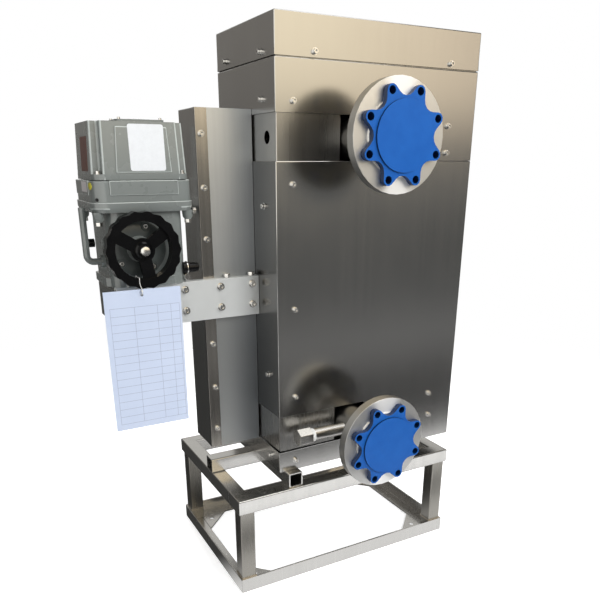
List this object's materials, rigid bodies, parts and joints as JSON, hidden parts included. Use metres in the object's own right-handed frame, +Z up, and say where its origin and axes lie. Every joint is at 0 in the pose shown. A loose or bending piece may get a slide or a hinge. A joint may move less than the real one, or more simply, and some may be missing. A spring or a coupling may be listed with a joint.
{
  "type": "twin valve cabinet with electric actuator",
  "caption": "Stainless sheet-metal valve cabinet with capped pipe flanges on its front, a side linkage case, a geared electric actuator with handwheel and a welded steel stand.",
  "frame": {"origin": "middle of the footprint box, on the floor", "axes": "+Z up, -Y toward the front where the flanges face, +X to the right seen from the front"},
  "size_m": [0.8271, 0.5206, 1.173],
  "materials": {
    "brushed_stainless": "brushed",
    "welded_tube": "satin",
    "machined_steel": "machined",
    "case_cover_sheet": "film covered",
    "cap_blue": "moulded",
    "actuator_grey": "satin",
    "wheel_black": "gloss",
    "gear_steel": "machined",
    "bronze": "machined",
    "seal_white": "matt",
    "window_clear": "clear",
    "indicator_red": "matt",
    "card_paper": "laminated",
    "string_white": "twisted"
  },
  "bodies": {
    "cabinet": {"actuator_cover": "actuator_grey", "actuator_housing": "actuator_grey", "actuator_plate": "brushed_stainless", "bottom_tray": "brushed_stainless", "bracket_frame": "brushed_stainless", "bracket_front_plate": "brushed_stainless", "cabinet_lid": "brushed_stainless", "cross_tube_left": "welded_tube", "cross_tube_right": "welded_tube", "cross_tube_side": "welded_tube", "drain_cap": "machined_steel", "drain_pipe": "machined_steel", "drain_seal": "seal_white", "drive_motor": "gear_steel", "gear_case": "actuator_grey", "indicator_window": "window_clear", "inner_casing": "brushed_stainless", "level_chamber": "machined_steel", "lower_flange": "machined_steel", "lower_neck": "machined_steel", "lower_valve_body": "machined_steel", "main_cover": "brushed_stainless", "side_case": "brushed_stainless", "side_case_cover": "case_cover_sheet", "stand_base_front": "welded_tube", "stand_base_left": "welded_tube", "stand_base_rear": "welded_tube", "stand_base_right": "welded_tube", "stand_leg_front_left": "welded_tube", "stand_leg_front_right": "welded_tube", "stand_leg_rear_left": "welded_tube", "stand_leg_rear_right": "welded_tube", "stand_rail_front": "welded_tube", "stand_rail_left": "welded_tube", "stand_rail_rear": "welded_tube", "stand_rail_right": "welded_tube", "tag_string": "string_white", "upper_cover": "brushed_stainless", "upper_flange": "machined_steel", "upper_valve_body": "machined_steel"},
    "handwheel": {"handwheel": "wheel_black", "worm_shaft": "gear_steel"},
    "output": {"output_shaft": "gear_steel", "worm_wheel": "bronze", "driving_bevel": "gear_steel", "position_pointer": "indicator_red"},
    "cross_drive": {"cross_shaft": "gear_steel", "driven_bevel": "gear_steel", "drive_crank": "gear_steel"},
    "tie_rod": {"tie_rod": "gear_steel"},
    "upper_valve": {"upper_lever": "gear_steel", "upper_stem": "gear_steel", "upper_ball": "machined_steel"},
    "lower_valve": {"lower_lever": "gear_steel", "lower_stem": "gear_steel", "lower_ball": "machined_steel"},
    "tag_card": {"tag_card": "card_paper"},
    "clutch_lever": {"clutch_lever": "actuator_grey"},
    "upper_cap": {"upper_flange_cap": "cap_blue"},
    "lower_cap": {"lower_flange_cap": "cap_blue"}
  },
  "joints": [
    {"name": "handwheel_turn", "type": "hinge", "parent": "cabinet", "child": "handwheel", "pos_m": [-0.32085, -0.04675, 0.769], "axis": [0, 1, 0], "range_deg": [0, 2880], "deforming": ["tag_string"]},
    {"name": "output_turn", "type": "hinge", "parent": "cabinet", "child": "output", "pos_m": [-0.28685, 0.04725, 0.769], "axis": [0, 0, 1], "range_deg": [0, 90]},
    {"name": "cross_shaft_turn", "type": "hinge", "parent": "cabinet", "child": "cross_drive", "pos_m": [-0.28685, 0.04725, 0.656], "axis": [-1, 0, 0], "range_deg": [0, 90]},
    {"name": "tie_rod_swing", "type": "hinge", "parent": "cross_drive", "child": "tie_rod", "pos_m": [-0.12175, 0.06846, 0.67721], "axis": [-1, 0, 0], "range_deg": [-90, 0]},
    {"name": "upper_valve_turn", "type": "hinge", "parent": "cabinet", "child": "upper_valve", "pos_m": [-0.11325, 0.04725, 0.965], "axis": [-1, 0, 0], "range_deg": [0, 90]},
    {"name": "lower_valve_turn", "type": "hinge", "parent": "cabinet", "child": "lower_valve", "pos_m": [-0.11325, 0.04725, 0.3595], "axis": [-1, 0, 0], "range_deg": [0, 90]},
    {"name": "card_swing", "type": "hinge", "parent": "cabinet", "child": "tag_card", "pos_m": [-0.33545, -0.07925, 0.6927], "axis": [0, 1, 0], "range_deg": [-15, 15]},
    {"name": "clutch_swing", "type": "hinge", "parent": "cabinet", "child": "clutch_lever", "pos_m": [-0.37325, 0.02525, 0.7425], "axis": [1, 0, 0], "range_deg": [0, 60], "stiffness_Nm_per_rad": 0.5, "springref_deg": -5.73},
    {"name": "upper_cap_pull", "type": "slide", "parent": "cabinet", "child": "upper_cap", "axis": [0, -1, 0], "range_m": [0, 0.15]},
    {"name": "lower_cap_pull", "type": "slide", "parent": "cabinet", "child": "lower_cap", "axis": [0, -1, 0], "range_m": [0, 0.15]}
  ],
  "couplings": [
    {"joint": "output_turn", "follows": "handwheel_turn", "ratio": 0.03125},
    {"joint": "cross_shaft_turn", "follows": "handwheel_turn", "ratio": 0.03125},
    {"joint": "tie_rod_swing", "follows": "handwheel_turn", "ratio": -0.03125},
    {"joint": "upper_valve_turn", "follows": "handwheel_turn", "ratio": 0.03125},
    {"joint": "lower_valve_turn", "follows": "handwheel_turn", "ratio": 0.03125}
  ]
}
